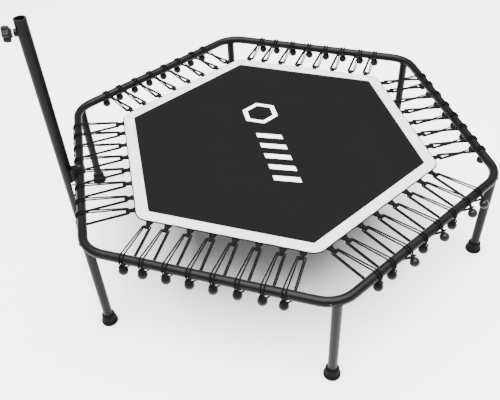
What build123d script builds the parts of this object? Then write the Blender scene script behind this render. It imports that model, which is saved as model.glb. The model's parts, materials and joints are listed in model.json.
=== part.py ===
from build123d import *
from math import acos, asin, atan2, cos, degrees, hypot, pi, radians, sin, tan
import os

os.makedirs("parts", exist_ok=True)

# Six-sided bungee trampoline with one clamped handle post. Millimetres, +Z up.
# The floor is Z = 0 and the origin is under the middle of the whole object.

# Frame ring: a regular hexagon of round tube, corners pointing to +Y and -Y.
corner_radius = 650.0  # ring centre to the crossing of two side centre lines
frame_height = 295.0  # floor to the tube centre line
tube_d = 25.0
tube_wall = 1.5
bend_radius = 90.0  # centre line of a corner bend

# Legs and their rubber feet.
stub_bottom = 22.0  # below the tube centre line, where the leg screws on
stud_d = 10.0
stud_length = 9.0
thread_gap = 0.05
leg_plug = 5.0
foot_height = 30.0
foot_base_d = 45.0
foot_base_height = 7.0
foot_body_d = 39.0
foot_top_d = 35.0
foot_floor = 6.0  # rubber under the end of the leg
foot_groove = 1.2

# Locking screws beside each leg.
lock_head_d = 8.0
lock_head_height = 2.2
lock_shank_d = 4.0
lock_length = 5.0
lock_inset = 1.0  # flat pad under the head, let into the tube wall
lock_angle = 11.5  # step round the bend from the leg, degrees
lock_rise = 12.0  # tilt of the screw above the level, degrees

# Jumping mat with its sewn border.
mat_apothem = 423.5
mat_thickness = 1.6
mat_corner = 42.0
border_inner = 389.0
border_outer = 421.0
border_corner = 39.0
border_thickness = 1.2

# Webbing loops under the mat edge: eight to a side, mirrored about its middle.
loop_spots = (-206.0, -154.0, -92.0, -30.5, 30.5, 92.0, 154.0, 206.0)
webbing_width = 20.0
webbing_end_width = 9.0
webbing_ply = 1.5
webbing_start = 398.0
webbing_slot_start = 437.6
webbing_slot_length = 9.2

# Bungee cords: one cord each, doubled through the webbing, over and under the tube.
cord_d = 4.0
cord_gap = 0.1  # cord surface to the tube it bears on
cord_inner_half = 7.1  # half width of the inner strand's turn in the webbing
cord_step = 4.2  # from the inner strand to the outer one
over_spread = 5.0  # half spacing of the two strands on top of the tube
pair_offset = 9.0  # from the webbing's middle to the ball
ball_d = 25.0
ball_reach = 33.5  # tube centre to ball centre
hang_down = 16.0  # swing of a hanging ball from straight down, degrees
hang_out = 55.0  # swing of a ball that rests on the tube's outer side
balls_out = (2, 4, 6, 7)  # spots on side cd whose balls rest there

# Handle post outside the side on -X.
post_offset = 37.0  # tube centre line to post axis
post_d = 32.0
post_bore = 28.2
post_top = 470.0  # above the tube centre line
post_bottom = 165.0  # below the tube centre line
tongue_start = 28.0  # below this depth only the outer half of the post goes on
bracket_width = 24.0
bracket_ply = 3.0
bracket_rise = 14.0
bracket_drop = 20.0
strap_end = 195.0  # degrees round the ring tube from its outer side
bracket_screw_d = 6.0
bracket_screw_head_d = 10.0
bracket_screw_head = 3.0
stay_d = 4.0
stay_depth = 46.0
stay_inset = 3.0  # outward from the ring tube centre line
stay_bend = 8.0

# Sliding handle tube, its guide bush and the screw clamp.
handle_d = 25.0
handle_wall = 1.5
handle_bottom = 160.0  # above the ring tube centre line
handle_travel = 200.0
slide_gap = 0.05
bush_length = 70.0
clamp_height = 436.0
boss_d = 20.0
boss_reach = 22.0  # post axis to the boss face
screw_d = 8.0
screw_gap = 0.05
pad_gap = 0.3  # clamp pad to the handle tube before the last turn
pad_length = 3.0
pad_hole_gap = 0.3
knob_start = 27.0  # post axis to the near face of the knob
knob_hub = 4.0
knob_hub_d = 22.0
knob_grip = 18.0
knob_d = 42.0
knob_lobes = 5
knob_lobe_d = 15.0
knob_round = 2.0

# Derived positions.
tube_r = tube_d / 2
apothem = corner_radius * cos(pi / 6)
corner_tangent = bend_radius * tan(pi / 6)
leg_circle = corner_radius - bend_radius * (1 / cos(pi / 6) - 1)
post_x = apothem + post_offset
knob_end = knob_start + knob_hub + knob_grip
cord_r = cord_d / 2
bear_r = tube_r + cord_r + cord_gap
loop_drop = mat_thickness / 2 + webbing_ply
reach_left = post_x + knob_end
reach_right = apothem + ball_reach * sin(radians(hang_down)) + ball_d / 2
centre_x = (reach_left - reach_right) / 2

corner_names = "abcdef"
corner_angles = (150, 210, 270, 330, 30, 90)
side_names = ("ab", "bc", "cd", "de", "ef", "fa")
side_angles = (180, 240, 300, 0, 60, 120)
# Which edge of the webbing the upper strands leave from, looking outward.
over_edges = (-1, -1, 1, -1, -1, 1)


def turned(angle, height=frame_height):
    """Plane through the ring's centre with its X axis pointing out at an angle."""
    a = radians(angle)
    return Plane(origin=(centre_x, 0, height), x_dir=(cos(a), sin(a), 0), z_dir=(0, 0, 1))


def save(builder, name):
    builder.part.label = name
    export_step(builder.part, "parts/" + name + ".step")


# Ring: six straight tubes between six bends.
side_half = corner_radius / 2 - corner_tangent
for name, angle in zip(side_names, side_angles):
    home = turned(angle)
    across = Plane(
        origin=home.from_local_coords((apothem, -side_half, 0)),
        x_dir=home.x_dir,
        z_dir=home.y_dir,
    )
    with BuildPart() as frame_side:
        with BuildSketch(across):
            Circle(tube_r)
            Circle(tube_r - tube_wall, mode=Mode.SUBTRACT)
        extrude(amount=2 * side_half)
    save(frame_side, "frame_side_" + name)

bend_centre = corner_radius - bend_radius / cos(pi / 6)


def lock_seat(angle):
    """Plane under the head of a corner's locking screw, Z along the screw."""
    home = turned(angle)
    a = radians(-lock_angle)
    spot = home.from_local_coords(
        (bend_centre + bend_radius * cos(a), bend_radius * sin(a), 0)
    )
    out = home.x_dir * cos(a) + home.y_dir * sin(a)
    axis = out * cos(radians(lock_rise)) + Vector(0, 0, sin(radians(lock_rise)))
    return Plane(origin=spot + axis * tube_r, z_dir=axis)


for name, angle in zip(corner_names, corner_angles):
    home = turned(angle)
    start = home.from_local_coords(
        (bend_centre + bend_radius * cos(pi / 6), -bend_radius * sin(pi / 6), 0)
    )
    out_x = home.x_dir * cos(pi / 6) - home.y_dir * sin(pi / 6)
    along = home.x_dir * sin(pi / 6) + home.y_dir * cos(pi / 6)
    cut = Plane(origin=start, x_dir=out_x, z_dir=along)
    with BuildPart() as frame_corner:
        with BuildLine(home) as bend_line:
            CenterArc((bend_centre, 0), bend_radius, -30, 60)
        with BuildSketch(cut):
            Circle(tube_r)
        sweep(path=bend_line.line)
        with BuildSketch(turned(angle, frame_height - stub_bottom)):
            with Locations((leg_circle, 0)):
                Circle(tube_r)
        extrude(amount=stub_bottom - 2)
        with BuildLine(home) as bore_line:
            CenterArc((bend_centre, 0), bend_radius, -30, 60)
        with BuildSketch(cut):
            Circle(tube_r - tube_wall)
        sweep(path=bore_line.line, mode=Mode.SUBTRACT)
        with BuildSketch(turned(angle, frame_height - stub_bottom)):
            with Locations((leg_circle, 0)):
                Circle(stud_d / 2 + thread_gap)
        extrude(amount=stub_bottom, mode=Mode.SUBTRACT)
        with BuildSketch(lock_seat(angle)):
            Circle(lock_head_d / 2)
        extrude(amount=-lock_inset)
        with BuildSketch(lock_seat(angle)):
            Circle(lock_shank_d / 2 + thread_gap)
        extrude(amount=-lock_length, mode=Mode.SUBTRACT)
    save(frame_corner, "frame_corner_" + name)

# Locking screws: pan heads on the outer side of each bend, next to the leg.
with BuildPart() as lock_screws:
    for angle in corner_angles:
        with BuildSketch(lock_seat(angle)):
            Circle(lock_head_d / 2)
        extrude(amount=lock_head_height)
        with BuildSketch(lock_seat(angle)):
            Circle(lock_shank_d / 2)
        extrude(amount=-lock_length)
save(lock_screws, "lock_screws")

# Legs: tubes with a plug and a threaded stud at the top, each in a rubber foot.
leg_top = frame_height - stub_bottom
for name, angle in zip(corner_names, corner_angles):
    with BuildPart() as leg:
        with BuildSketch(turned(angle, foot_floor)):
            with Locations((leg_circle, 0)):
                Circle(tube_r)
                Circle(tube_r - tube_wall, mode=Mode.SUBTRACT)
        extrude(amount=leg_top - foot_floor)
        with BuildSketch(turned(angle, leg_top - leg_plug)):
            with Locations((leg_circle, 0)):
                Circle(tube_r - tube_wall / 2)
        extrude(amount=leg_plug)
        with BuildSketch(turned(angle, leg_top)):
            with Locations((leg_circle, 0)):
                Circle(stud_d / 2)
        extrude(amount=stud_length)
    save(leg, "leg_" + name)

    axis_at = turned(angle, 0).from_local_coords((leg_circle, 0, 0))
    with BuildPart() as foot:
        with BuildSketch(Plane(origin=axis_at, x_dir=(1, 0, 0), z_dir=(0, -1, 0))):
            with BuildLine():
                Polyline(
                    (0, 0),
                    (foot_base_d / 2 - 1, 0),
                    (foot_base_d / 2, 1),
                    (foot_base_d / 2, foot_base_height - 1),
                    (foot_base_d / 2 - 1, foot_base_height),
                    (foot_body_d / 2 - foot_groove, foot_base_height),
                    (foot_body_d / 2 - foot_groove, foot_base_height + 2),
                    (foot_body_d / 2, foot_base_height + 3),
                    (foot_top_d / 2 + 0.5, foot_height - 2),
                    (foot_top_d / 2 - 1, foot_height),
                    (tube_r, foot_height),
                    (tube_r, foot_floor),
                    (0, foot_floor),
                    close=True,
                )
            make_face()
        revolve(axis=Axis(axis_at, (0, 0, 1)))
    save(foot, "foot_" + name)


def hexagon(across_half, corner):
    """Sketch of a hexagon with rounded corners, corners pointing along Y."""
    RegularPolygon(across_half, 6, major_radius=False, rotation=30)
    if corner > 0:
        fillet(BuildSketch._get_context().vertices(), corner)


# Mat: one woven sheet with a sewn border on top.
middle = turned(0)
with BuildPart() as mat:
    with BuildSketch(middle.offset(-mat_thickness / 2)):
        hexagon(mat_apothem, mat_corner)
    extrude(amount=mat_thickness)
save(mat, "mat")

with BuildPart() as mat_border:
    with BuildSketch(middle.offset(mat_thickness / 2)):
        hexagon(border_outer, border_corner)
        RegularPolygon(border_inner, 6, major_radius=False, rotation=30, mode=Mode.SUBTRACT)
    extrude(amount=border_thickness)
save(mat_border, "mat_border")

# Webbing: a folded strap sewn under the mat, ending in an eye for the cord.
slot_r = cord_r + 0.25
eye_r = slot_r + webbing_ply
eye_middle = webbing_slot_start + webbing_slot_length / 2
eye_span = webbing_slot_length - 2 * slot_r
webbing_end = webbing_slot_start + webbing_slot_length + 2 * webbing_ply
for name, angle in zip(side_names, side_angles):
    home = turned(angle, frame_height - loop_drop)
    with BuildPart() as webbing:
        for spot in loop_spots:
            edge_on = Plane(
                origin=home.from_local_coords((0, spot - webbing_width / 2, 0)),
                x_dir=home.x_dir,
                z_dir=home.y_dir,
            )
            with BuildSketch(edge_on):
                with Locations(((webbing_start + eye_middle) / 2, 0)):
                    Rectangle(eye_middle - webbing_start, 2 * webbing_ply)
                with Locations((eye_middle, 0)):
                    SlotCenterToCenter(eye_span, 2 * eye_r)
                    SlotCenterToCenter(eye_span, 2 * slot_r, mode=Mode.SUBTRACT)
            extrude(amount=webbing_width)
        with BuildSketch(home.offset(-2 * eye_r)):
            for spot in loop_spots:
                with BuildLine():
                    Polyline(
                        (webbing_start, spot - webbing_width / 2),
                        (mat_apothem, spot - webbing_width / 2),
                        (webbing_slot_start, spot - webbing_end_width / 2),
                        (webbing_end, spot - webbing_end_width / 2),
                        (webbing_end, spot + webbing_end_width / 2),
                        (webbing_slot_start, spot + webbing_end_width / 2),
                        (mat_apothem, spot + webbing_width / 2),
                        (webbing_start, spot + webbing_width / 2),
                        close=True,
                    )
                make_face()
        extrude(amount=4 * eye_r, mode=Mode.INTERSECT)
    save(webbing, "webbing_" + name)


def hung(swing, across, down):
    """Point in the cross-section of the ring tube, in a frame that hangs at a swing."""
    a = radians(swing)
    return (across * cos(a) + down * sin(a), across * sin(a) - down * cos(a))


def bungee_points(swing):
    """Corners and fillet radii of one cord, for upper strands on the +Y edge.

    X runs outward from the ring centre, Y along the side from the middle of the
    webbing, Z up from the tube centre line.
    """
    leave = acos(bear_r / ball_reach)
    tangent = (bear_r * sin(leave), bear_r * cos(leave))
    neck_down = 20.0
    share = (ball_reach - neck_down) / (ball_reach - tangent[1])
    neck_across = tangent[0] * share
    bore_half = cord_r + 0.05
    loop_half = 1.5 * cord_d + 0.5
    web_bend = cord_r + 0.4
    inner_u = cord_inner_half
    outer_u = cord_inner_half + cord_step
    x_inner = webbing_slot_start + slot_r + cord_d + 0.3
    x_outer = webbing_slot_start + slot_r + 0.1

    # The lower strands pass further out and lower as the ball swings out.
    under_x = swing / 12 - 2.3
    under_z = -bear_r - swing / 25

    def strand(x_web, u_web, side):
        w = (apothem - x_web, -loop_drop)
        reach = hypot(w[0], w[1])
        top_angle = pi / 2 + asin(bear_r / reach) + atan2(-w[1], w[0])
        out_angle = radians(swing) - pi / 2 + leave
        half = (top_angle - out_angle) / 2
        far = bear_r / cos(half)
        turn_at = (far * cos(out_angle + half), far * sin(out_angle + half))
        ball = hung(swing, 0, ball_reach)
        neck = hung(swing, neck_across, neck_down)
        return [
            ((apothem + ball[0], pair_offset + side * bore_half, ball[1]), 0),
            ((apothem + neck[0], pair_offset + side * bore_half, neck[1]), 8),
            ((apothem + turn_at[0], pair_offset + side * over_spread, turn_at[1]), bear_r),
            ((x_web, u_web, -loop_drop), web_bend),
            ((x_web, -u_web, -loop_drop), web_bend),
            ((apothem + under_x, -u_web, under_z), 10),
        ]

    inner_path = strand(x_inner, inner_u, -1)
    outer_path = strand(x_outer, outer_u, 1)
    near_out = hung(swing, neck_across + loop_half, neck_down)
    near_in = hung(swing, neck_across - loop_half - 0.4, neck_down)
    neck_turn = [
        ((apothem + near_in[0], pair_offset + loop_half, near_in[1]), 4),
        ((apothem + near_out[0], pair_offset + loop_half, near_out[1]), 4),
        ((apothem + near_out[0], pair_offset - loop_half, near_out[1]), 4),
    ]
    return inner_path + neck_turn + outer_path[::-1]


def bungee(home, swing, edge):
    """One cord as a solid about the middle of its webbing loop."""
    corners = bungee_points(swing)
    points = [(x, edge * y, z) for (x, y, z), r in corners]
    radii = [r for p, r in corners[1:-1]]
    with BuildPart() as cord:
        with BuildLine(home) as route:
            FilletPolyline(*points, radius=radii)
        with BuildSketch(Plane(origin=route.line @ 0, z_dir=route.line % 0)):
            Circle(cord_r)
        sweep(path=route.line)
    return cord.part


def swings(name):
    """Swing of the ball at each spot: all hang down, but for some of one side."""
    if name == "cd":
        return [hang_out if i in balls_out else hang_down for i in range(len(loop_spots))]
    return [hang_down] * len(loop_spots)


# Bungee cords and balls, eight to a side.
for name, angle, edge in zip(side_names, side_angles, over_edges):
    home = turned(angle)
    shapes = {swing: bungee(home, swing, edge) for swing in sorted(set(swings(name)))}
    with BuildPart() as cords:
        for spot, swing in zip(loop_spots, swings(name)):
            with Locations(Location(home.y_dir * spot)):
                add(shapes[swing])
    save(cords, "bungee_cords_" + name)

    with BuildPart() as balls:
        for spot, swing in zip(loop_spots, swings(name)):
            at = hung(swing, 0, ball_reach)
            leave = acos(bear_r / ball_reach)
            entry = hung(swing, bear_r * sin(leave), bear_r * cos(leave))
            up = Vector(entry[0] - at[0], 0, entry[1] - at[1]).normalized()
            centre = home.from_local_coords((apothem + at[0], spot + edge * pair_offset, at[1]))
            up_axis = home.x_dir * up.X + Vector(0, 0, up.Z)
            with Locations(Plane(origin=centre, x_dir=-up_axis, z_dir=home.y_dir)):
                Sphere(ball_d / 2)
            with BuildSketch(Plane(origin=centre - up_axis * 4, x_dir=home.y_dir, z_dir=up_axis)):
                SlotCenterToCenter(cord_d + 0.1, cord_d + 0.4)
            extrude(amount=ball_d, mode=Mode.SUBTRACT)
    save(balls, "bungee_balls_" + name)

# Handle post: a straight tube whose lower end is cut to a half-round tongue.
post_home = turned(180)


def on_post(height):
    """Level plane with its origin on the post axis and X pointing away from the mat."""
    at = post_home.from_local_coords((post_x, 0, height))
    return Plane(origin=at, x_dir=post_home.x_dir, z_dir=(0, 0, 1))


clamp_axis = Plane(
    origin=post_home.from_local_coords((post_x, 0, clamp_height)),
    x_dir=(0, 0, 1),
    z_dir=post_home.x_dir,
)
with BuildPart() as post_tube:
    with BuildSketch(on_post(-post_bottom)):
        Circle(post_d / 2)
    extrude(amount=post_top + post_bottom)
    with BuildSketch(on_post(-post_bottom)):
        Circle(post_bore / 2)
    extrude(amount=post_top + post_bottom, mode=Mode.SUBTRACT)
    with BuildSketch(on_post(-post_bottom)):
        with Locations((-post_d / 2, 0)):
            Rectangle(post_d, 2 * post_d)
    extrude(amount=post_bottom - tongue_start, mode=Mode.SUBTRACT)
    with BuildSketch(clamp_axis):
        Circle(screw_d / 2 + pad_hole_gap)
    extrude(amount=post_d, mode=Mode.SUBTRACT)
save(post_tube, "post_tube")

# Bracket: a block between ring and post, with a strap hooked over the ring tube.
ring_axis = Plane(
    origin=post_home.from_local_coords((apothem, -bracket_width / 2, 0)),
    x_dir=post_home.x_dir,
    z_dir=post_home.y_dir,
)
strap_lift = radians(strap_end)
wedge = 3 * tube_d
with BuildPart() as post_bracket:
    with BuildSketch(ring_axis):
        with Locations((post_offset / 2, (bracket_drop - bracket_rise) / 2)):
            Rectangle(post_offset, bracket_rise + bracket_drop)
        Circle(tube_r + bracket_ply)
        with BuildLine():
            Polyline(
                (0, 0),
                (wedge * cos(strap_lift), -wedge * sin(strap_lift)),
                (wedge * cos(strap_lift), wedge),
                (0, wedge),
                close=True,
            )
        make_face(mode=Mode.SUBTRACT)
        Circle(tube_r, mode=Mode.SUBTRACT)
    extrude(amount=bracket_width)
    with BuildSketch(on_post(-wedge)):
        Circle(post_d / 2)
    extrude(amount=2 * wedge, mode=Mode.SUBTRACT)
    with BuildSketch(turned(180, frame_height)):
        with Locations((apothem, 0)):
            Circle(bracket_screw_d / 2)
    extrude(amount=2 * tube_d, mode=Mode.SUBTRACT)
save(post_bracket, "post_bracket")

with BuildPart() as bracket_screw:
    with BuildSketch(turned(180, frame_height + tube_r + bracket_ply)):
        with Locations((apothem, 0)):
            Circle(bracket_screw_head_d / 2)
    extrude(amount=bracket_screw_head)
    with BuildSketch(turned(180, frame_height + tube_r + bracket_ply)):
        with Locations((apothem, 0)):
            Circle(bracket_screw_d / 2)
    extrude(amount=-bracket_ply)
save(bracket_screw, "bracket_screw")

# Stay: a bent rod from the tongue to the underside of the bracket.
stay_x = apothem + stay_inset
stay_end = post_x + post_d / 2
with BuildPart() as post_stay:
    with BuildLine(Plane(origin=post_home.origin, x_dir=post_home.x_dir, z_dir=post_home.y_dir)):
        stay_route = FilletPolyline(
            (stay_x, bracket_drop), (stay_x, stay_depth), (stay_end, stay_depth), radius=stay_bend
        )
    with BuildSketch(Plane(origin=stay_route @ 0, z_dir=stay_route % 0)):
        Circle(stay_d / 2)
    sweep(path=stay_route)
    with BuildSketch(on_post(-post_bottom)):
        Circle(post_d)
        Circle(post_bore / 2, mode=Mode.SUBTRACT)
        with Locations((-post_d, 0)):
            Rectangle(2 * post_d, 2 * post_d, mode=Mode.SUBTRACT)
    extrude(amount=post_bottom, mode=Mode.SUBTRACT)
save(post_stay, "post_stay")

# Guide bush, fixed in the mouth of the post.
with BuildPart() as post_bush:
    with BuildSketch(on_post(post_top - bush_length)):
        Circle(post_bore / 2)
        Circle(handle_d / 2 + slide_gap, mode=Mode.SUBTRACT)
    extrude(amount=bush_length)
    with BuildSketch(clamp_axis):
        Circle(screw_d / 2 + pad_hole_gap)
    extrude(amount=post_d, mode=Mode.SUBTRACT)
save(post_bush, "post_bush")

# Threaded boss welded to the outer side of the post.
with BuildPart() as clamp_boss:
    with BuildSketch(clamp_axis):
        Circle(boss_d / 2)
        Circle(screw_d / 2 + screw_gap, mode=Mode.SUBTRACT)
    extrude(amount=boss_reach)
    with BuildSketch(on_post(clamp_height - boss_d)):
        Circle(post_d / 2)
    extrude(amount=2 * boss_d, mode=Mode.SUBTRACT)
    with BuildSketch(on_post(clamp_height - boss_d)):
        with Locations((-post_d / 2, 0)):
            Rectangle(post_d, 2 * post_d)
    extrude(amount=2 * boss_d, mode=Mode.SUBTRACT)
save(clamp_boss, "clamp_boss")

# Handle tube: slides up out of the post; its open top takes the handlebar.
with BuildPart() as handle_tube:
    with BuildSketch(on_post(handle_bottom)):
        Circle(handle_d / 2)
        Circle(handle_d / 2 - handle_wall, mode=Mode.SUBTRACT)
    extrude(amount=post_top - handle_bottom)
save(handle_tube, "handle_tube")

# Clamp pad, screw and star knob on one axis.
pad_start = handle_d / 2 + pad_gap
with BuildPart() as clamp_pad:
    with BuildSketch(clamp_axis.offset(pad_start)):
        Circle(screw_d / 2)
    extrude(amount=pad_length)
save(clamp_pad, "clamp_pad")

screw_start = pad_start + pad_length
with BuildPart() as clamp_screw:
    with BuildSketch(clamp_axis.offset(screw_start)):
        Circle(screw_d / 2)
    extrude(amount=knob_start + knob_hub + knob_grip / 2 - screw_start)
save(clamp_screw, "clamp_screw")

with BuildPart() as knob:
    with BuildSketch(clamp_axis.offset(knob_start)):
        Circle(knob_hub_d / 2)
    extrude(amount=knob_hub)
    with BuildSketch(clamp_axis.offset(knob_start + knob_hub)):
        Circle(knob_d / 2 - knob_lobe_d / 3)
        with PolarLocations(knob_d / 2 - knob_lobe_d / 2, knob_lobes):
            Circle(knob_lobe_d / 2)
    extrude(amount=knob_grip)
    outer_face = knob.faces().sort_by(Axis(clamp_axis.origin, clamp_axis.z_dir))[-1]
    fillet(outer_face.edges(), knob_round)
    with BuildSketch(clamp_axis.offset(knob_start)):
        Circle(screw_d / 2)
    extrude(amount=knob_hub + knob_grip / 2, mode=Mode.SUBTRACT)
save(knob, "knob")
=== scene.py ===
"""Looks of a hexagonal bungee trampoline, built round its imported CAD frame. Metres, +Z up."""
import json
from math import acos, asin, atan2, cos, hypot, pi, radians, sin, tan

import bmesh
import bpy
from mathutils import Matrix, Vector


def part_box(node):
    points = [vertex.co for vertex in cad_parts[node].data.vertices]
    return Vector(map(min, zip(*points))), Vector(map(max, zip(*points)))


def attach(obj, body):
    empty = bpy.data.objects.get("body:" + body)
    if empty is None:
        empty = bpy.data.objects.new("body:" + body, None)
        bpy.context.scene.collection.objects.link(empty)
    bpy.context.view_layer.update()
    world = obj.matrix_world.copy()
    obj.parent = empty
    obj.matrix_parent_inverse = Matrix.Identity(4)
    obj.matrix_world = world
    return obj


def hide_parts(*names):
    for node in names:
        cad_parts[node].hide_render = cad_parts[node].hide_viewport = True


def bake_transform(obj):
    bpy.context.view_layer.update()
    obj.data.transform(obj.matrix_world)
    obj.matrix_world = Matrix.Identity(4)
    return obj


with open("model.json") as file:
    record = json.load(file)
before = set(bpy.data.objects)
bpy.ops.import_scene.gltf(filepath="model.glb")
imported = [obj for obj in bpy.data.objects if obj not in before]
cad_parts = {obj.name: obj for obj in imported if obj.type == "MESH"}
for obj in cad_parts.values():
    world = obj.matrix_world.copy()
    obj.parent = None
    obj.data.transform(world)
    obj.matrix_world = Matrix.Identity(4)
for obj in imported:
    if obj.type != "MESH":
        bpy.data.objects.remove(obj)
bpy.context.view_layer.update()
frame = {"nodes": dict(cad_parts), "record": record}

MM = 0.001

# ---------------------------------------------------------------- sizes from the frame

SIDES = {"ab": 180, "bc": 240, "cd": 300, "de": 0, "ef": 60, "fa": 120}
CORNERS = {"a": 150, "b": 210, "c": 270, "d": 330, "e": 30, "f": 90}


def middle(node):
    """Centre of a CAD node's box."""
    low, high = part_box(node)
    return (Vector(low) + Vector(high)) / 2


CENTRE = middle("mat")  # centre of the ring
RING_Z = middle("frame_side_de").z
TUBE_R = (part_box("frame_side_de")[1][0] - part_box("frame_side_de")[0][0]) / 2
APOTHEM = middle("frame_side_de").x - CENTRE.x
MAT_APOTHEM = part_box("mat")[1][0] - CENTRE.x
BAND_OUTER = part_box("mat_border")[1][0] - CENTRE.x
BAND_WIDTH = 32 * MM
BAND_INNER = BAND_OUTER - BAND_WIDTH
MAT_CORNER = 42 * MM  # radius of the cloth's corners
BAND_CORNER = 39 * MM  # radius of the band's outer corners
SCALLOP_DEPTH = 1.0 * MM
MAT_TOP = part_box("mat")[1][2]
MAT_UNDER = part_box("mat")[0][2]
BAND_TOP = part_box("mat_border")[1][2]
POST = middle("post_tube")
KNOB_ROOT_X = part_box("knob")[1][0]  # the knob's end against the post

# Bungees: positions of the webbing loops along a side, and which edge the upper
# strands leave from, looking outward.
LOOP_SPOTS = [v * MM for v in (-206, -154, -92, -30.5, 30.5, 92, 154, 206)]
OVER_EDGE = {"ab": -1, "bc": -1, "cd": 1, "de": -1, "ef": -1, "fa": 1}
BALLS_OUT = (2, 4, 6, 7)
HANG_DOWN = radians(16)
HANG_OUT = radians(55)
CORD_R = 2.0 * MM
LOOP_Z = -2.3 * MM  # middle of the webbing's fold, from the tube's centre line


def spot_on(side, out, along=0.0, up=0.0):
    """Point by distance out from the ring's centre, along a side and up from the ring."""
    a = radians(SIDES[side])
    return Vector((
        CENTRE.x + out * cos(a) - along * sin(a),
        CENTRE.y + out * sin(a) + along * cos(a),
        RING_Z + up,
    ))


# ---------------------------------------------------------------- materials


def srgb(code, alpha=1.0):
    """Linear RGBA of an sRGB hex colour."""
    parts = [int(code[i:i + 2], 16) / 255 for i in (1, 3, 5)]
    return [v / 12.92 if v <= 0.04045 else ((v + 0.055) / 1.055) ** 2.4 for v in parts] + [alpha]


def add(tree, kind, values=None, links=None, **settings):
    """A node with its settings, its socket values and the sockets that feed it."""
    node = tree.nodes.new(kind)
    for key, value in settings.items():
        setattr(node, key, value)
    for key, value in (values or {}).items():
        node.inputs[key].default_value = value
    for key, source in (links or {}).items():
        tree.links.new(source, node.inputs[key])
    return node


def ramp(tree, source, stops):
    """Colour ramp through (place, hex) stops."""
    node = add(tree, "ShaderNodeValToRGB", links={"Fac": source})
    elements = node.color_ramp.elements
    while len(elements) < len(stops):
        elements.new(0.5)
    for element, (place, code) in zip(elements, stops):
        element.position = place
        element.color = srgb(code)
    return node.outputs["Color"]


def start_material(name):
    """An empty material, its tree, its surface output and Object coordinates."""
    material = bpy.data.materials.new(name)
    material.use_nodes = True
    tree = material.node_tree
    tree.nodes.clear()
    output = add(tree, "ShaderNodeOutputMaterial")
    place = add(tree, "ShaderNodeTexCoord").outputs["Object"]
    return material, tree, output, place


def finish_material(tree, output, values, links):
    """Feeds a Principled shader with these values and links to the material's surface."""
    shader = add(tree, "ShaderNodeBsdfPrincipled", values=values, links=links)
    tree.links.new(shader.outputs["BSDF"], output.inputs["Surface"])


def noise(tree, place, size, detail=3.0, rough=0.5):
    """Noise whose blotches are about size metres across."""
    return add(
        tree, "ShaderNodeTexNoise",
        values={"Scale": 1 / size, "Detail": detail, "Roughness": rough},
        links={"Vector": place},
    ).outputs["Fac"]


def span(tree, source, low, high):
    """Source, 0 to 1, stretched to low to high."""
    return add(
        tree, "ShaderNodeMapRange", values={"To Min": low, "To Max": high}, links={"Value": source}
    ).outputs["Result"]


def bump(tree, height, distance, strength):
    """A normal raised by height, distance in metres at full strength."""
    return add(
        tree, "ShaderNodeBump", values={"Distance": distance, "Strength": strength},
        links={"Height": height},
    ).outputs["Normal"]


def maths(tree, operation, first, second=None):
    """One sum on sockets or numbers."""
    node = add(tree, "ShaderNodeMath", operation=operation)
    for index, value in enumerate((first, second)):
        if value is None:
            continue
        if isinstance(value, (int, float)):
            node.inputs[index].default_value = value
        else:
            tree.links.new(value, node.inputs[index])
    return node.outputs[0]


def satin_black_powder_coat():
    """Baked polyester powder on steel: near black, softly glossy, with a fine orange peel."""
    material, tree, output, place = start_material("satin_black_powder_coat")
    cloud = noise(tree, place, 0.05, 4)
    peel = noise(tree, place, 0.0022, 2)  # drawn twice as coarse as the real 1 mm peel
    rub = noise(tree, place, 0.018, 6, 0.7)
    colour = ramp(tree, cloud, ((0.3, "#050506"), (0.7, "#0a0a0b")))
    scuff = add(
        tree, "ShaderNodeMapRange",
        values={"From Min": 0.66, "From Max": 0.78, "To Max": 0.35}, links={"Value": rub},
    ).outputs["Result"]
    worn = add(
        tree, "ShaderNodeMix", data_type="RGBA", values={"B": srgb("#151517")},
        links={"Factor": scuff, "A": colour},
    ).outputs["Result"]
    gloss = span(tree, rub, 0.30, 0.50)
    finish_material(
        tree, output, {"IOR": 1.5, "Specular IOR Level": 0.1},
        {"Base Color": worn, "Roughness": gloss, "Normal": bump(tree, peel, 0.00012, 0.6)},
    )
    return material


def bright_zinc_plate():
    """Zinc plated and passivated steel: pale, bluish, finely streaked by the barrel."""
    material, tree, output, place = start_material("bright_zinc_plate")
    grain = noise(tree, place, 0.0012, 4, 0.6)
    colour = ramp(tree, grain, ((0.3, "#a9adb2"), (0.7, "#cfd2d6")))
    finish_material(
        tree, output, {"Metallic": 1.0},
        {
            "Base Color": colour, "Roughness": span(tree, grain, 0.22, 0.42),
            "Normal": bump(tree, grain, 0.00004, 0.5),
        },
    )
    return material


def blackened_screw_steel():
    """Black oxide steel: the small screws of the ring, dark with a dull metal sheen."""
    material, tree, output, place = start_material("blackened_screw_steel")
    grain = noise(tree, place, 0.001, 4, 0.6)
    finish_material(
        tree, output, {"Metallic": 0.8},
        {
            "Base Color": ramp(tree, grain, ((0.3, "#2a2a2c"), (0.7, "#3c3c3f"))),
            "Roughness": span(tree, grain, 0.3, 0.5), "Normal": bump(tree, grain, 0.00004, 0.5),
        },
    )
    return material


def moulded_foot_rubber():
    """Vulcanised rubber from a blasted mould: matt black with a dusting of bloom."""
    material, tree, output, place = start_material("moulded_foot_rubber")
    bloom = noise(tree, place, 0.012, 5, 0.65)
    pits = noise(tree, place, 0.0009, 3, 0.6)
    finish_material(
        tree, output, {"IOR": 1.52, "Specular IOR Level": 0.05},
        {
            "Base Color": ramp(tree, bloom, ((0.35, "#0a0a0a"), (0.75, "#131314"))),
            "Roughness": span(tree, bloom, 0.62, 0.82), "Normal": bump(tree, pits, 0.0001, 0.7),
        },
    )
    return material


def wave(tree, place, spacing, direction):
    """Bands one spacing apart along an axis."""
    return add(
        tree, "ShaderNodeTexWave", values={"Scale": pi / (10 * spacing), "Distortion": 0.0},
        links={"Vector": place}, bands_direction=direction, wave_profile="SIN",
    ).outputs["Fac"]


YARN = 0.0026  # the cloth's yarn spacing in metres, drawn twice as coarse as the real 1.3 mm


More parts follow.
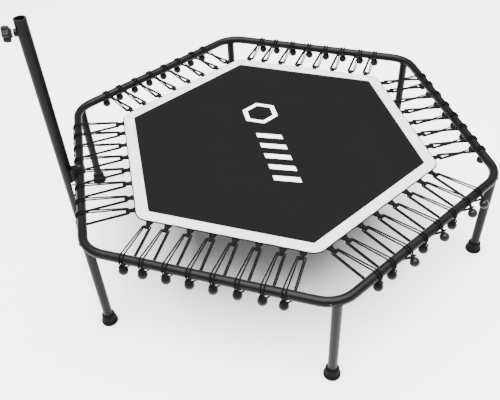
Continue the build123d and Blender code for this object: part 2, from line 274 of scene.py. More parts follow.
def woven_jump_cloth():
    """Heat-set polypropylene cloth: black flat yarns over and under, with a dull plastic sheen."""
    material, tree, output, place = start_material("woven_jump_cloth")
    warp = wave(tree, place, YARN, "X")
    weft = wave(tree, place, YARN, "Y")
    weave = maths(tree, "MULTIPLY", warp, weft)
    slub = noise(tree, add(
        tree, "ShaderNodeMapping", values={"Scale": (1, 0.05, 1)}, links={"Vector": place}
    ).outputs["Vector"], 0.004, 3, 0.6)
    cloud = noise(tree, place, 0.16, 3)
    tone = maths(tree, "ADD", maths(tree, "MULTIPLY", weave, 0.35), maths(tree, "MULTIPLY", slub, 0.35))
    tone = maths(tree, "ADD", tone, maths(tree, "MULTIPLY", cloud, 0.3))
    finish_material(
        tree, output,
        {"IOR": 1.49, "Specular IOR Level": 0.05, "Sheen Weight": 0.01, "Sheen Roughness": 0.45},
        {
            "Base Color": ramp(tree, tone, ((0.2, "#050505"), (0.55, "#090909"), (0.8, "#0e0e0f"))),
            "Roughness": span(tree, weave, 0.8, 0.65), "Normal": bump(tree, weave, 0.0004, 0.5),
        },
    )
    return material


def white_edge_band():
    """Woven polyester band: off white, fine diagonal twill, slightly soiled in soft random clouds."""
    material, tree, output, place = start_material("white_edge_band")
    twill = wave(tree, add(
        tree, "ShaderNodeMapping", values={"Rotation": (0, 0, radians(32))}, links={"Vector": place}
    ).outputs["Vector"], 0.0018, "X")
    fuzz = noise(tree, place, 0.0015, 4, 0.6)
    cloud = noise(tree, place, 0.04, 4)
    tone = maths(tree, "ADD", maths(tree, "MULTIPLY", twill, 0.3), maths(tree, "MULTIPLY", cloud, 0.7))
    finish_material(
        tree, output, {"Sheen Weight": 0.15, "Sheen Roughness": 0.5},
        {
            "Base Color": ramp(tree, tone, ((0.2, "#adadad"), (0.6, "#bbbbba"), (0.9, "#c8c8c7"))),
            "Roughness": span(tree, fuzz, 0.7, 0.85), "Normal": bump(tree, twill, 0.0002, 0.5),
        },
    )
    return material


def screen_print_ink():
    """White plastisol ink pressed into the cloth: matt, with the yarns showing through."""
    material, tree, output, place = start_material("screen_print_ink")
    weave = maths(tree, "MULTIPLY", wave(tree, place, YARN, "X"), wave(tree, place, YARN, "Y"))
    finish_material(
        tree, output, {"IOR": 1.45},
        {
            "Base Color": ramp(tree, weave, ((0.0, "#dcdcdc"), (0.6, "#f3f3f3"))),
            "Roughness": span(tree, weave, 0.7, 0.6), "Normal": bump(tree, weave, 0.0002, 0.4),
        },
    )
    return material


def sewing_thread(name, low, high):
    """Bonded polyester thread: a tight twist with a slight shine."""
    material, tree, output, place = start_material(name)
    twist = noise(tree, place, 0.0006, 2)
    finish_material(
        tree, output, {"Sheen Weight": 0.2},
        {
            "Base Color": ramp(tree, twist, ((0.3, low), (0.7, high))),
            "Roughness": span(tree, twist, 0.5, 0.7),
        },
    )
    return material


def black_polyester_webbing():
    """Woven strap: black, ribbed across its length, dull with a little fibre sheen."""
    material, tree, output, place = start_material("black_polyester_webbing")
    lay = add(tree, "ShaderNodeUVMap", uv_map="strap").outputs["UV"]
    ribs = wave(tree, lay, 0.0018, "X")
    rows = wave(tree, lay, 0.0022, "Y")
    weave = maths(tree, "MULTIPLY", ribs, rows)
    fuzz = noise(tree, place, 0.003, 4, 0.6)
    finish_material(
        tree, output, {"Specular IOR Level": 0.05},
        {
            "Base Color": ramp(
                tree, maths(tree, "MULTIPLY", weave, fuzz), ((0.0, "#060606"), (0.5, "#121213"))
            ),
            "Roughness": span(tree, fuzz, 0.7, 0.88), "Normal": bump(tree, weave, 0.0003, 0.6),
        },
    )
    return material


def braided_bungee_cover():
    """Braided polyester sleeve over rubber: black yarns crossing in a diamond pattern."""
    material, tree, output, place = start_material("braided_bungee_cover")
    length = add(tree, "ShaderNodeAttribute", attribute_name="cord_length").outputs["Fac"]
    around = add(tree, "ShaderNodeAttribute", attribute_name="cord_round").outputs["Vector"]
    parts = add(tree, "ShaderNodeSeparateXYZ", links={"Vector": around})
    turn = maths(tree, "ARCTAN2", parts.outputs["Y"], parts.outputs["X"])
    pitch = 2 * pi / 0.0032
    climb = maths(tree, "MULTIPLY", length, pitch)
    starts = maths(tree, "MULTIPLY", turn, 4.0)
    one = maths(tree, "SINE", maths(tree, "ADD", climb, starts))
    other = maths(tree, "SINE", maths(tree, "SUBTRACT", climb, starts))
    braid = span(tree, maths(tree, "MULTIPLY", one, other), 0.5, 1.0)
    fuzz = noise(tree, place, 0.002, 3)
    finish_material(
        tree, output, {"Specular IOR Level": 0.05},
        {
            "Base Color": ramp(
                tree, maths(tree, "MULTIPLY", braid, fuzz), ((0.1, "#050505"), (0.6, "#101011"))
            ),
            "Roughness": span(tree, fuzz, 0.6, 0.8), "Normal": bump(tree, braid, 0.0002, 0.5),
        },
    )
    return material


def moulded_black_plastic(name, low, high, gloss_low, gloss_high, grit):
    """Injection moulded plastic with the mould's texture; low and high are its tones."""
    material, tree, output, place = start_material(name)
    cloud = noise(tree, place, 0.01, 4)
    texture = noise(tree, place, grit, 3, 0.6)
    finish_material(
        tree, output, {"IOR": 1.46, "Specular IOR Level": 0.15},
        {
            "Base Color": ramp(tree, cloud, ((0.35, low), (0.7, high))),
            "Roughness": span(tree, cloud, gloss_low, gloss_high),
            "Normal": bump(tree, texture, 0.00006, 0.5),
        },
    )
    return material


def matt_studio_floor():
    """Pale painted floor."""
    material, tree, output, place = start_material("matt_studio_floor")
    finish_material(
        tree, output, {"Specular IOR Level": 0.1},
        {
            "Base Color": ramp(tree, noise(tree, place, 0.6), ((0.3, "#f4f4f4"), (0.7, "#f7f7f7"))),
            "Roughness": span(tree, noise(tree, place, 0.1), 0.85, 0.95),
        },
    )
    return material


POWDER = satin_black_powder_coat()
ZINC = bright_zinc_plate()
SCREW = blackened_screw_steel()
RUBBER = moulded_foot_rubber()
CLOTH = woven_jump_cloth()
BAND = white_edge_band()
INK = screen_print_ink()
WHITE_THREAD = sewing_thread("white_sewing_thread", "#a4a4a4", "#c4c4c4")
BLACK_THREAD = sewing_thread("black_sewing_thread", "#161617", "#2b2b2d")
WEBBING = black_polyester_webbing()
BRAID = braided_bungee_cover()
# Polypropylene balls are smooth and shine; the nylon knob is finely sparked and dull.
BALL = moulded_black_plastic("glossy_polypropylene", "#101011", "#171718", 0.26, 0.36, 0.004)
KNOB = moulded_black_plastic("sparked_nylon", "#0c0c0d", "#131314", 0.42, 0.55, 0.0008)
BUSH = moulded_black_plastic("acetal_bush", "#1b1b1c", "#242426", 0.4, 0.5, 0.001)

SLOT_MATERIALS = {
    "powder_coated_steel": POWDER,
    "zinc_steel": ZINC,
    "foot_rubber": RUBBER,
    "mat_fabric": CLOTH,
    "border_fabric": BAND,
    "webbing": WEBBING,
    "bungee_cord": BRAID,
    "ball_plastic": BALL,
    "bush_plastic": BUSH,
    "knob_plastic": KNOB,
}


def dress_frame():
    """Every CAD node takes the material of its slot."""
    for part in frame["record"]["subparts"]:
        node = frame["nodes"][part["node"]]
        for place in node.material_slots:
            place.material = SLOT_MATERIALS[part["material_slot"]]


# ---------------------------------------------------------------- mesh helpers


def make_object(name, points, faces, material, smooth=True):
    """A mesh object from points and faces, its normals outward."""
    mesh = bpy.data.meshes.new(name)
    mesh.from_pydata([tuple(p) for p in points], [], faces)
    mesh.materials.append(material)
    tidy = bmesh.new()
    tidy.from_mesh(mesh)
    bmesh.ops.recalc_face_normals(tidy, faces=tidy.faces)
    tidy.to_mesh(mesh)
    tidy.free()
    for polygon in mesh.polygons:
        polygon.use_smooth = smooth
    thing = bpy.data.objects.new(name, mesh)
    bpy.context.collection.objects.link(thing)
    return thing


def rings_to_faces(rings, count, closed_path=False, first=0):
    """Quads between rings of count points each; closed_path joins the last ring to the first."""
    faces = []
    for r in range(rings if closed_path else rings - 1):
        for k in range(count):
            a = first + r * count + k
            b = first + r * count + (k + 1) % count
            c = first + ((r + 1) % rings) * count + (k + 1) % count
            d = first + ((r + 1) % rings) * count + k
            faces.append((a, b, c, d))
    return faces


def baked(thing):
    """The object's evaluated result as a plain mesh, with its modifiers removed."""
    depsgraph = bpy.context.evaluated_depsgraph_get()
    mesh = bpy.data.meshes.new_from_object(thing.evaluated_get(depsgraph))
    mesh.name = thing.name
    if thing.type == "MESH":
        thing.modifiers.clear()
        thing.data = mesh
        return thing
    name = thing.name
    bpy.data.objects.remove(thing)
    plain = bpy.data.objects.new(name, mesh)
    bpy.context.collection.objects.link(plain)
    return plain


def node_tree(name, sockets):
    """A Geometry Nodes tree with named inputs (name, socket type, default)."""
    tree = bpy.data.node_groups.new(name, "GeometryNodeTree")
    tree.interface.new_socket("Geometry", in_out="INPUT", socket_type="NodeSocketGeometry")
    for label, kind, value in sockets:
        socket = tree.interface.new_socket(label, in_out="INPUT", socket_type=kind)
        if value is not None:
            socket.default_value = value
    tree.interface.new_socket("Geometry", in_out="OUTPUT", socket_type="NodeSocketGeometry")
    return tree, tree.nodes.new("NodeGroupInput"), tree.nodes.new("NodeGroupOutput")


def close_tree(tree, shape, inputs, output):
    """Realize Instances, then Set Material, into the tree's output."""
    real = add(tree, "GeometryNodeRealizeInstances", links={"Geometry": shape})
    coloured = add(
        tree, "GeometryNodeSetMaterial",
        links={"Geometry": real.outputs["Geometry"], "Material": inputs.outputs["Material"]},
    )
    tree.links.new(coloured.outputs["Geometry"], output.inputs["Geometry"])


def run_tree(thing, tree, values):
    """Applies a tree with its inputs set by name, and returns the plain mesh object."""
    modifier = thing.modifiers.new(tree.name, "NODES")
    modifier.node_group = tree
    for socket in tree.interface.items_tree:
        if socket.in_out == "INPUT" and socket.name in values:
            modifier[socket.identifier] = values[socket.name]
    return baked(thing)


def poly_curves(name, routes):
    """One curve object of poly splines; a route is a list of (point, radius), and may be closed."""
    data = bpy.data.curves.new(name, "CURVE")
    data.dimensions = "3D"
    for route, closed in routes:
        spline = data.splines.new("POLY")
        spline.points.add(len(route) - 1)
        for point, (place, radius) in zip(spline.points, route):
            point.co = (*place, 1)
            point.radius = radius
        spline.use_cyclic_u = closed
    thing = bpy.data.objects.new(name, data)
    bpy.context.collection.objects.link(thing)
    return thing


def round_cord_tree():
    """Fillets a route by each point's radius and sweeps a round cord along it."""
    tree, inputs, output = node_tree("round_cord", (
        ("Cord radius", "NodeSocketFloat", 0.002),
        ("Sides", "NodeSocketInt", 10),
        ("Bend steps", "NodeSocketInt", 7),
        ("Material", "NodeSocketMaterial", None),
    ))
    bends = add(tree, "GeometryNodeInputRadius")
    route = add(
        tree, "GeometryNodeFilletCurve", values={"Limit Radius": True},
        links={
            "Curve": inputs.outputs["Geometry"], "Radius": bends.outputs["Radius"],
            "Count": inputs.outputs["Bend steps"],
        },
        mode="POLY",
    )
    length = add(tree, "GeometryNodeSplineParameter")
    marked = add(
        tree, "GeometryNodeStoreNamedAttribute", values={"Name": "cord_length"},
        links={"Geometry": route.outputs["Curve"], "Value": length.outputs["Length"]},
        data_type="FLOAT", domain="POINT",
    )
    even = add(
        tree, "GeometryNodeSetCurveRadius", values={"Radius": 1.0},
        links={"Curve": marked.outputs["Geometry"]},
    )
    ring = add(
        tree, "GeometryNodeCurvePrimitiveCircle",
        links={"Resolution": inputs.outputs["Sides"], "Radius": inputs.outputs["Cord radius"]},
        mode="RADIUS",
    )
    around = add(tree, "GeometryNodeInputPosition")
    marked_ring = add(
        tree, "GeometryNodeStoreNamedAttribute", values={"Name": "cord_round"},
        links={"Geometry": ring.outputs["Curve"], "Value": around.outputs["Position"]},
        data_type="FLOAT_VECTOR", domain="POINT",
    )
    swept = add(
        tree, "GeometryNodeCurveToMesh", values={"Fill Caps": True},
        links={"Curve": even.outputs["Curve"], "Profile Curve": marked_ring.outputs["Geometry"]},
    )
    soft = add(tree, "GeometryNodeSetShadeSmooth", links={"Geometry": swept.outputs["Mesh"]})
    close_tree(tree, soft.outputs["Geometry"], inputs, output)
    return tree


def stitch_tree():
    """Lays short thread stitches end to end along a seam."""
    tree, inputs, output = node_tree("stitch_row", (
        ("Pitch", "NodeSocketFloat", 0.004),
        ("Stitch length", "NodeSocketFloat", 0.003),
        ("Thread radius", "NodeSocketFloat", 0.0004),
        ("Material", "NodeSocketMaterial", None),
    ))
    spots = add(
        tree, "GeometryNodeCurveToPoints",
        links={"Curve": inputs.outputs["Geometry"], "Length": inputs.outputs["Pitch"]}, mode="LENGTH",
    )
    bead = add(
        tree, "GeometryNodeMeshUVSphere", values={"Segments": 6, "Rings": 5, "Radius": 1.0}
    )
    half = add(
        tree, "ShaderNodeMath", values={1: 0.5}, links={0: inputs.outputs["Stitch length"]},
        operation="MULTIPLY",
    )
    size = add(
        tree, "ShaderNodeCombineXYZ",
        links={
            "X": inputs.outputs["Thread radius"], "Y": inputs.outputs["Thread radius"],
            "Z": half.outputs[0],
        },
    )
    turn = add(
        tree, "FunctionNodeAlignRotationToVector", links={"Vector": spots.outputs["Tangent"]}, axis="Z"
    )
    laid = add(
        tree, "GeometryNodeInstanceOnPoints",
        links={
            "Points": spots.outputs["Points"], "Instance": bead.outputs["Mesh"],
            "Rotation": turn.outputs["Rotation"], "Scale": size.outputs["Vector"],
        },
    )
    soft = add(tree, "GeometryNodeSetShadeSmooth", links={"Geometry": laid.outputs["Instances"]})
    close_tree(tree, soft.outputs["Geometry"], inputs, output)
    return tree


def fastener_tree():
    """Puts a copy of a fastener on each vertex, its Z along the vertex's facing attribute."""
    tree, inputs, output = node_tree("fasteners", (
        ("Fastener", "NodeSocketObject", None),
        ("Material", "NodeSocketMaterial", None),
    ))
    shape = add(tree, "GeometryNodeObjectInfo", links={"Object": inputs.outputs["Fastener"]})
    facing = add(
        tree, "GeometryNodeInputNamedAttribute", values={"Name": "facing"}, data_type="FLOAT_VECTOR"
    )
    turn = add(
        tree, "FunctionNodeAlignRotationToVector", links={"Vector": facing.outputs["Attribute"]}, axis="Z"
    )
    laid = add(
        tree, "GeometryNodeInstanceOnPoints",
        links={
            "Points": inputs.outputs["Geometry"], "Instance": shape.outputs["Geometry"],
            "Rotation": turn.outputs["Rotation"],
        },
    )
    close_tree(tree, laid.outputs["Instances"], inputs, output)
    return tree


ROUND_CORD = round_cord_tree()
STITCHES = stitch_tree()
FASTENERS = fastener_tree()

# ---------------------------------------------------------------- jumping mat


def hexagon_outline(apothem, corner, steps=26, bends=9):
    """Points round a hexagon with rounded corners: (point, side or None, place along the side)."""
    points = []
    reach = apothem * tan(pi / 6)
    flat = reach - corner * tan(pi / 6)
    for name in ("de", "ef", "fa", "ab", "bc", "cd"):
        for k in range(steps):
            along = -flat + 2 * flat * k / steps
            points.append((spot_on(name, apothem, along), name, along))
        a0 = radians(SIDES[name])
        heart = Vector((CENTRE.x, CENTRE.y, RING_Z)) + Vector(
            (cos(a0 + pi / 6), sin(a0 + pi / 6), 0)
        ) * ((apothem - corner) / cos(pi / 6))
        for k in range(bends):
            a = a0 + radians(60) * k / bends
            points.append((heart + Vector((cos(a), sin(a), 0)) * corner, None, 0))
    return points


def sag(place):
    """How far the cloth hangs below its edge, least near the edge."""
    share = min(1, hypot(place.x - CENTRE.x, place.y - CENTRE.y) / MAT_APOTHEM)
    return -2.5 * MM * (1 - share ** 2)


def scallop(along):
    """The edge is drawn out at each webbing loop and lies back between two."""
    for left, right in zip(LOOP_SPOTS, LOOP_SPOTS[1:]):
        if left <= along <= right:
            return SCALLOP_DEPTH * sin(pi * (along - left) / (right - left)) ** 2
    return 0.0


def pulled(point, name, along):
    """An outline point with the scallop of its side taken in."""
    if name is None:
        return point
    a = radians(SIDES[name])
    return point - Vector((cos(a), sin(a), 0)) * scallop(along)


def jumping_mat():
    """The sheet: rings of points from the middle to the scalloped edge, then its thickness."""
    edge = [pulled(*entry) for entry in hexagon_outline(MAT_APOTHEM - 1.5 * MM, MAT_CORNER)]
    count = len(edge)
    shares = [k / 24 for k in range(1, 25)]
    level = (MAT_TOP + MAT_UNDER) / 2
    points = []
    for share in shares:
        for p in edge:
            flat = Vector((
                CENTRE.x + (p.x - CENTRE.x) * share, CENTRE.y + (p.y - CENTRE.y) * share, level
            ))
            points.append(flat + Vector((0, 0, sag(flat))))
    faces = rings_to_faces(len(shares), count)
    heart = len(points)
    points.append(Vector((CENTRE.x, CENTRE.y, level + sag(CENTRE))))
    faces += [(heart, k, (k + 1) % count) for k in range(count)]
    sheet = make_object("jumping_mat", points, faces, CLOTH)
    if sheet.data.polygons[0].normal.z < 0:
        sheet.data.flip_normals()
    thickness = sheet.modifiers.new("thickness", "SOLIDIFY")
    thickness.thickness = MAT_TOP - MAT_UNDER - 0.2 * MM
    thickness.offset = 0.0
    sheet = baked(sheet)
    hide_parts("mat")
    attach(sheet, "mat")
    return sheet


def band_along(name, inner, outer, corner_in, corner_out, profile, material):
    """A flat sewn band round the mat; profile is (share of the width, height above the cloth)."""
    inside = hexagon_outline(inner, corner_in)
    outside = [pulled(*entry) for entry in hexagon_outline(outer, corner_out)]
    count = len(profile)
    points = []
    for (p, _, _), q in zip(inside, outside):
        for share, height in profile:
            place = p.lerp(q, share)
            points.append(Vector((place.x, place.y, MAT_TOP + height + sag(place))))
    faces = rings_to_faces(len(outside), count, closed_path=True)
    piece = make_object(name, points, faces, material)
    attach(piece, "mat")
    return piece


def white_band():
    """The pale band: puffed between its two seams, turned under along both edges."""
    top = BAND_TOP - MAT_TOP
    profile = (
        (0.0, -0.1 * MM), (0.0, 0.6 * top), (0.03, 0.95 * top), (0.08, 0.75 * top),
        (0.14, 1.05 * top), (0.3, 1.2 * top), (0.5, 1.25 * top), (0.7, 1.2 * top),
        (0.86, 1.05 * top), (0.92, 0.75 * top), (0.97, 0.95 * top), (1.0, 0.6 * top),
        (1.0, -0.1 * MM), (0.5, -0.1 * MM),
    )
    band = band_along(
        "white_band", BAND_INNER, BAND_OUTER, 6 * MM, BAND_CORNER, profile, BAND
    )
    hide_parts("mat_border")
    return band


def black_hem():
    """The cloth's folded edge: a narrow black roll that shows outside the pale band."""
    profile = [
        (0.5 + 0.5 * cos(a), -0.75 * MM + 1.35 * MM * sin(a))
        for a in (2 * pi * k / 10 for k in range(10))
    ]
    return band_along(
        "black_hem", BAND_OUTER - 0.6 * MM, MAT_APOTHEM + 0.6 * MM, BAND_CORNER, MAT_CORNER,
        profile, CLOTH,
    )


def seam_rows():
    """Two rows of white stitches in the band's grooves, one near each edge."""
    width = BAND_OUTER - BAND_INNER
    top = BAND_TOP - MAT_TOP
    routes = []
    for share, corner in ((0.08, 9 * MM), (0.92, 37 * MM)):
        row = []
        for entry in hexagon_outline(BAND_INNER + width * share, corner):
            place = pulled(*entry) if share > 0.5 else entry[0]
            row.append((Vector((place.x, place.y, MAT_TOP + 0.85 * top + sag(place))), 1.0))
        routes.append((row, True))
    seams = run_tree(poly_curves("band_stitches", routes), STITCHES, {
        "Pitch": 4.2 * MM, "Stitch length": 3.4 * MM, "Thread radius": 0.45 * MM,
        "Material": WHITE_THREAD,
    })
    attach(seams, "mat")
    return seams


def printed_motif():
    """A plain printed ornament along the mat's middle: a hexagon outline and slanted bars."""
    lift = 0.25 * MM
    points = []
    faces = []

    def patch(corners, splits=6):
        """A quadrilateral of ink that follows the cloth; corners in metres from the centre."""
        a, b, c, d = (Vector(v) for v in corners)
        first = len(points)
        for i in range(splits + 1):
            for j in range(splits + 1):
                p = a.lerp(b, i / splits).lerp(d.lerp(c, i / splits), j / splits)
                place = Vector((CENTRE.x + p.x, CENTRE.y + p.y, MAT_TOP))
                points.append(place + Vector((0, 0, sag(place) + lift)))
        step = splits + 1
        for i in range(splits):
            for j in range(splits):
                k = first + i * step + j
                faces.append((k, k + 1, k + step + 1, k + step))

    heart = Vector((0, 0.145))
    outer, inner = 0.058, 0.042
    for k in range(6):
        a, b = radians(60 * k + 30), radians(60 * k + 90)
        patch([heart + Vector((cos(t), sin(t))) * r for t, r in (
            (a, outer), (b, outer), (b, inner), (a, inner)
        )])
    half_bar = 0.036
    bar_pitch = 0.052
    for k in range(5):
        low = 0.045 - k * bar_pitch
        patch([
            (-half_bar, low), (half_bar, low - 0.03), (half_bar, low - 0.052), (-half_bar, low - 0.022),
        ])
    ink = make_object("printed_motif", points, faces, INK)
    if ink.data.polygons[0].normal.z < 0:
        ink.data.flip_normals()
    body = ink.modifiers.new("ink", "SOLIDIFY")
    body.thickness = 0.2 * MM
    body.offset = -1.0
    ink = baked(ink)
    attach(ink, "mat")
    return ink


# ---------------------------------------------------------------- webbing loops


def strap_route():
    """The folded strap from the side, (out, up) in metres, from its lower to its upper end."""
    lower = [(398, -0.75), (406, -0.75), (415, -0.75), (424, -0.75), (429, -0.85), (433, -1.7)]
    lower += [(436.5, -2.75), (440.5, -3.0)]
    turn = [(444.55 + 3 * cos(a), 3 * sin(a)) for a in (radians(v) for v in range(-90, 91, 20))]
    upper = [(x, -z) for x, z in reversed(lower)]
    return [Vector((x * MM, LOOP_Z + z * MM)) for x, z in lower + turn + upper]


def strap_half_width(out):
    """Half the strap's width: full under the mat, gathered towards the eye."""
    share = min(1, max(0, (out - 423.5 * MM) / (14 * MM)))
    return (10 - 5.4 * share * share * (3 - 2 * share)) * MM


def webbing_loops(side):
    """Eight folded straps of one side, each a thin strip with crimped edges."""
    route = strap_route()
    points, faces, layout = [], [], []
    across = 8
    half_ply = 0.65 * MM
    for spot in LOOP_SPOTS:
        first = len(points)
        run = 0.0
        for k, here in enumerate(route):
            before, after = route[max(0, k - 1)], route[min(len(route) - 1, k + 1)]
            run += (here - before).length if k else 0
            step = (after - before).normalized()
            normal = Vector((-step.y, step.x))
            half = strap_half_width(here.x)
            gather = (10 * MM - half) * 0.12
            ring = []
            for j in range(across + 1):
                u = -1 + 2 * j / across
                ripple = gather * cos(3 * pi * u)
                edge = half_ply * (1 - 0.35 * u ** 6)
                ring.append((u, edge, ripple))
            for u, edge, ripple in ring:
                p = here + normal * (edge + ripple * 0.5)
                points.append(spot_on(side, p.x, spot + u * half, p.y))
                layout.append((run, u * half))
            for u, edge, ripple in reversed(ring):
                p = here + normal * (-edge + ripple * 0.5)
                points.append(spot_on(side, p.x, spot + u * half, p.y))
                layout.append((run, u * half))
        count = 2 * (across + 1)
        faces += rings_to_faces(len(route), count, first=first)
        last = first + (len(route) - 1) * count
        faces.append(tuple(range(first, first + count)))
        faces.append(tuple(range(last, last + count)))
    straps = make_object("webbing_loops_" + side, points, faces, WEBBING)
    uv = straps.data.uv_layers.new(name="strap")
    for loop in straps.data.loops:
        uv.data[loop.index].uv = layout[loop.vertex_index]
    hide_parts("webbing_" + side)
    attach(straps, "mat")


def strap_stitches(side):
    """A sewn box with a cross under each strap, through the mat."""
    low = LOOP_Z - 1.55 * MM
    routes = []
    for spot in LOOP_SPOTS:
        x0, x1, y0, y1 = 401 * MM, 417 * MM, spot - 7.5 * MM, spot + 7.5 * MM
        box = [(x0, y0), (x1, y0), (x1, y1), (x0, y1)]
        routes.append(([(spot_on(side, x, y, low), 1.0) for x, y in box], True))
        for ends in ((box[0], box[2]), (box[1], box[3])):
            routes.append(([(spot_on(side, x, y, low), 1.0) for x, y in ends], False))
    seams = run_tree(poly_curves("strap_stitches_" + side, routes), STITCHES, {
        "Pitch": 3.0 * MM, "Stitch length": 2.6 * MM, "Thread radius": 0.35 * MM,
        "Material": BLACK_THREAD,
    })
    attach(seams, "mat")


# ---------------------------------------------------------------- bungee cords


def hung(swing, across, down):
    """Point in the tube's cross-section, in a frame that hangs from the tube at a swing."""
    return Vector((across * cos(swing) + down * sin(swing), across * sin(swing) - down * cos(swing)))


def bungee_route(swing):
    """Corners of one cord in millimetres with their bend radii: ball, over the tube, webbing,
    under the tube, round its own neck, and back the same way a little wider."""
    bear = 14.6  # tube's centre to the cord that lies on it
    reach = 33.5  # tube's centre to the ball's
    neck_down = 20.0  # tube's centre to the turn round the neck
    aside = 9  # webbing's middle to the ball
    neck_gap = 2.05  # half the step between the strands in the neck
    top_gap = 5  # the same where they cross the tube
    web_bend = 2.4
    inner_eye, outer_eye = 444.15, 439.95
    inner_half, outer_half = 7.1, 11.3
    leave = acos(bear / reach)
    tangent = (bear * sin(leave), bear * cos(leave))
    neck_across = tangent[0] * (reach - neck_down) / (reach - tangent[1])
    ring = APOTHEM / MM
    drop = LOOP_Z / MM
    turn_half = 6.5
    degrees_out = swing * 180 / pi
    under = (degrees_out / 12 - 2.3, -bear - degrees_out / 25)

    def strand(eye, half, edge):
        web = Vector((ring - eye, drop))
        top = pi / 2 + asin(bear / web.length) + atan2(-web.y, web.x)
        out = swing - pi / 2 + leave
        bend = (top - out) / 2
        far = bear / cos(bend)
        ball = hung(swing, 0, reach)
        neck = hung(swing, neck_across, neck_down)
        return [
            ((ring + ball.x, aside + edge * neck_gap, ball.y), 0),
            ((ring + neck.x, aside + edge * neck_gap, neck.y), 8),
            (
                (ring + far * cos(out + bend), aside + edge * top_gap, far * sin(out + bend)),
                bear,
            ),
            ((eye, half, drop), web_bend),
            ((eye, -half, drop), web_bend),
            ((ring + under[0], -half, under[1]), 10),
        ]

    near_in = hung(swing, neck_across - turn_half - 0.4, neck_down)
    near_out = hung(swing, neck_across + turn_half, neck_down)
    neck_turn = [
        ((ring + near_in.x, aside + turn_half, near_in.y), 4),
        ((ring + near_out.x, aside + turn_half, near_out.y), 4),
        ((ring + near_out.x, aside - turn_half, near_out.y), 4),
    ]
    back = strand(outer_eye, outer_half, 1)[::-1]
    return strand(inner_eye, inner_half, -1) + neck_turn + back


def bungee_cords(side):
    """Eight cords of one side, from the frame's tube to the mat's webbing."""
    routes = []
    for k, spot in enumerate(LOOP_SPOTS):
        swing = HANG_OUT if side == "cd" and k in BALLS_OUT else HANG_DOWN
        route = []
        for (out, along, up), bend in bungee_route(swing):
            place = spot_on(side, out * MM, spot + OVER_EDGE[side] * along * MM, up * MM)
            route.append((place, bend * MM))
        routes.append((route, False))
    cords = run_tree(poly_curves("bungees_" + side, routes), ROUND_CORD, {
        "Cord radius": CORD_R, "Sides": 10, "Bend steps": 7, "Material": BRAID,
    })
    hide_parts("bungee_cords_" + side)
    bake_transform(cords)


# ---------------------------------------------------------------- metalwork


def button_head(name, diameter, height, socket, material):
    """A domed screw head with a hexagon socket, standing on Z = 0."""
    steps = 36
    rim = diameter / 2
    rings = [[(rim * 0.96, 0.0)] * steps, [(rim, 0.12 * height)] * steps, [(rim, 0.3 * height)] * steps]
    for k in range(1, 6):
        a = radians(15 * k)
        dome = height * (0.3 + 0.7 * sin(a) / sin(radians(75)))
        rings.append([(rim * (0.62 + 0.38 * cos(a)), dome)] * steps)
    hexagon = []
    for k in range(steps):
        a = (2 * pi * k / steps) % (pi / 3) - pi / 6
        hexagon.append(socket / 2 / cos(a))
    rings.append([(r * 1.08, height) for r in hexagon])
    rings.append([(r, height * 0.93) for r in hexagon])
    rings.append([(r * 0.97, height * 0.4) for r in hexagon])
    points = []
    for ring in rings:
        for k, (radius, up) in enumerate(ring):
            a = 2 * pi * k / steps
            points.append((radius * cos(a), radius * sin(a), up))
    faces = rings_to_faces(len(rings), steps)
    faces.append(tuple(range(steps)))
    last = (len(rings) - 1) * steps
    faces.append(tuple(range(last, last + steps)))
    return make_object(name, points, faces, material, smooth=False)


def placed_fasteners(name, pattern, seats, material):
    """Copies of a pattern fastener on (point, direction) seats; the pattern is then removed."""
    mesh = bpy.data.meshes.new(name)
    mesh.from_pydata([tuple(p) for p, _ in seats], [], [])
    facing = mesh.attributes.new("facing", "FLOAT_VECTOR", "POINT")
    for k, (_, way) in enumerate(seats):
        facing.data[k].vector = way
    holder = bpy.data.objects.new(name, mesh)
    bpy.context.collection.objects.link(holder)
    result = run_tree(holder, FASTENERS, {"Fastener": pattern, "Material": material})
    bpy.data.objects.remove(pattern)
    return result


def lock_screw_heads():
    """One small button-head screw on the outer side of each bend, next to the leg."""
    rise = radians(12)  # the screw's axis above level
    step = radians(-11.5)  # from the leg, round the bend
    bend_radius = 90 * MM
    corner_reach = 650 * MM  # ring's centre to the crossing of two sides
    bend_heart = corner_reach - bend_radius / cos(pi / 6)
    seats = []
    for angle in CORNERS.values():
        a = radians(angle)
        heart = Vector((CENTRE.x + bend_heart * cos(a), CENTRE.y + bend_heart * sin(a), RING_Z))
        out = Vector((cos(a + step), sin(a + step), 0))
        way = out * cos(rise) + Vector((0, 0, sin(rise)))
        seats.append((heart + out * bend_radius + way * TUBE_R, way))
    pattern = button_head("lock_screw_pattern", 8 * MM, 2.2 * MM, 3 * MM, SCREW)
    heads = placed_fasteners("lock_screw_heads", pattern, seats, SCREW)
    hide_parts("lock_screws")
    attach(heads, "frame")


def bracket_bolt_head():
    """The larger screw on top of the post's bracket."""
    low, high = (Vector(v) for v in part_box("bracket_screw"))
    seat = Vector(((low.x + high.x) / 2, (low.y + high.y) / 2, high.z - 3 * MM))
    pattern = button_head("bracket_bolt_pattern", high.x - low.x, 3 * MM, 4 * MM, SCREW)
    head = placed_fasteners("bracket_bolt_head", pattern, [(seat, Vector((0, 0, 1)))], SCREW)
    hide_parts("bracket_screw")
    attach(head, "frame")


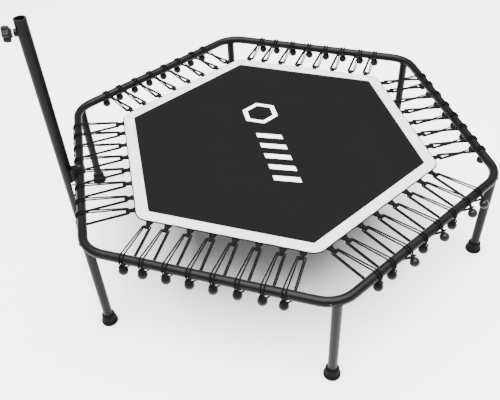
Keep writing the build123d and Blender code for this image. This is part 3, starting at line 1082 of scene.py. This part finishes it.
def leg_welds():
    """A weld bead where each leg's stub meets the bent tube, coated over."""
    routes = []
    steps = 40
    for name, angle in CORNERS.items():
        a = radians(angle)
        axis = middle("leg_" + name)
        out = Vector((cos(a), sin(a), 0))
        along = Vector((-sin(a), cos(a), 0))
        bead = []
        for k in range(steps):
            t = 2 * pi * k / steps
            ripple = 1 + 0.012 * sin(9 * t)
            level = RING_Z - TUBE_R * abs(sin(t)) * 0.97 - 2.4 * MM
            place = Vector((axis.x, axis.y, level))
            place += (out * cos(t) + along * sin(t)) * TUBE_R * ripple
            bead.append((place, 0.0))
        routes.append((bead, True))
    welds = run_tree(poly_curves("leg_welds", routes), ROUND_CORD, {
        "Cord radius": 1.3 * MM, "Sides": 8, "Bend steps": 1, "Material": POWDER,
    })
    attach(welds, "frame")


def star_knob():
    """Five-lobed clamp knob on the post, its grip turned over into a dished cap."""
    lobes, steps = 5, 120
    heart = Vector((KNOB_ROOT_X, POST.y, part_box("clamp_screw")[0][2] + 4 * MM))
    rings = [  # distance out along the axis, radius, share of the lobes
        (0.0, 10.2, 0), (0.6, 11.0, 0), (4.0, 11.0, 0), (4.1, 15.0, 0.8), (5.0, 16.9, 0.97),
        (7.0, 17.2, 1.0), (12.0, 17.3, 1.0), (17.0, 17.2, 1.0), (19.5, 16.8, 0.97),
        (21.2, 15.8, 0.85), (22.0, 14.4, 0.6), (22.0, 11.5, 0.2), (21.4, 10.4, 0.0),
        (20.4, 9.6, 0.0), (20.2, 5.0, 0.0),
    ]
    points = []
    for out, radius, share in rings:
        for k in range(steps):
            a = 2 * pi * k / steps
            r = (radius + 3.5 * share * cos(lobes * a)) * MM
            points.append((heart.x - out * MM, heart.y + r * sin(a), heart.z + r * cos(a)))
    faces = rings_to_faces(len(rings), steps)
    faces.append(tuple(range(steps)))
    last = (len(rings) - 1) * steps
    faces.append(tuple(range(last, last + steps)))
    knob = make_object("star_knob", points, faces, KNOB)
    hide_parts("knob")
    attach(knob, "knob")


# ---------------------------------------------------------------- studio


def studio():
    """Pale floor, soft light from above and a lens at standing height."""
    floor = make_object(
        "studio_floor", [(-8, -8, 0), (8, -8, 0), (8, 8, 0), (-8, 8, 0)], [(0, 1, 2, 3)],
        matt_studio_floor(), smooth=False,
    )

    world = bpy.data.worlds.new("studio_air")
    world.use_nodes = True
    back = world.node_tree.nodes["Background"]
    back.inputs["Color"].default_value = srgb("#ffffff")
    back.inputs["Strength"].default_value = 0.45
    bpy.context.scene.world = world

    for name, place, size, power in (
        ("top_softbox", (0.0, -0.3, 4.2), 5.0, 1500), ("left_softbox", (-2.8, -1.6, 2.2), 1.6, 14),
        ("right_softbox", (2.6, -1.4, 2.0), 1.4, 8),
    ):
        light = bpy.data.lights.new(name, "AREA")
        light.energy = power
        light.size = size
        lamp = bpy.data.objects.new(name, light)
        lamp.location = place
        aim = Vector((0, 0, 0.3)) - Vector(place)
        lamp.rotation_euler = aim.to_track_quat("-Z", "Y").to_euler()
        bpy.context.collection.objects.link(lamp)

    lens = bpy.data.cameras.new("studio_camera")
    lens.sensor_width = 36
    lens.lens = 46.0
    lens.shift_x = -0.0094
    lens.shift_y = 0.030
    camera = bpy.data.objects.new("studio_camera", lens)
    camera.location = (CENTRE.x - 0.3465, CENTRE.y - 1.5052, RING_Z + 1.1383)
    camera.rotation_euler = (radians(46.872), radians(2.092), radians(-12.698))
    bpy.context.collection.objects.link(camera)
    bpy.context.scene.camera = camera


dress_frame()
studio()
sheet = jumping_mat()
on_mat = [white_band(), black_hem(), seam_rows(), printed_motif()]
for side in SIDES:
    webbing_loops(side)
    strap_stitches(side)
    bungee_cords(side)
lock_screw_heads()
bracket_bolt_head()
leg_welds()
star_knob()
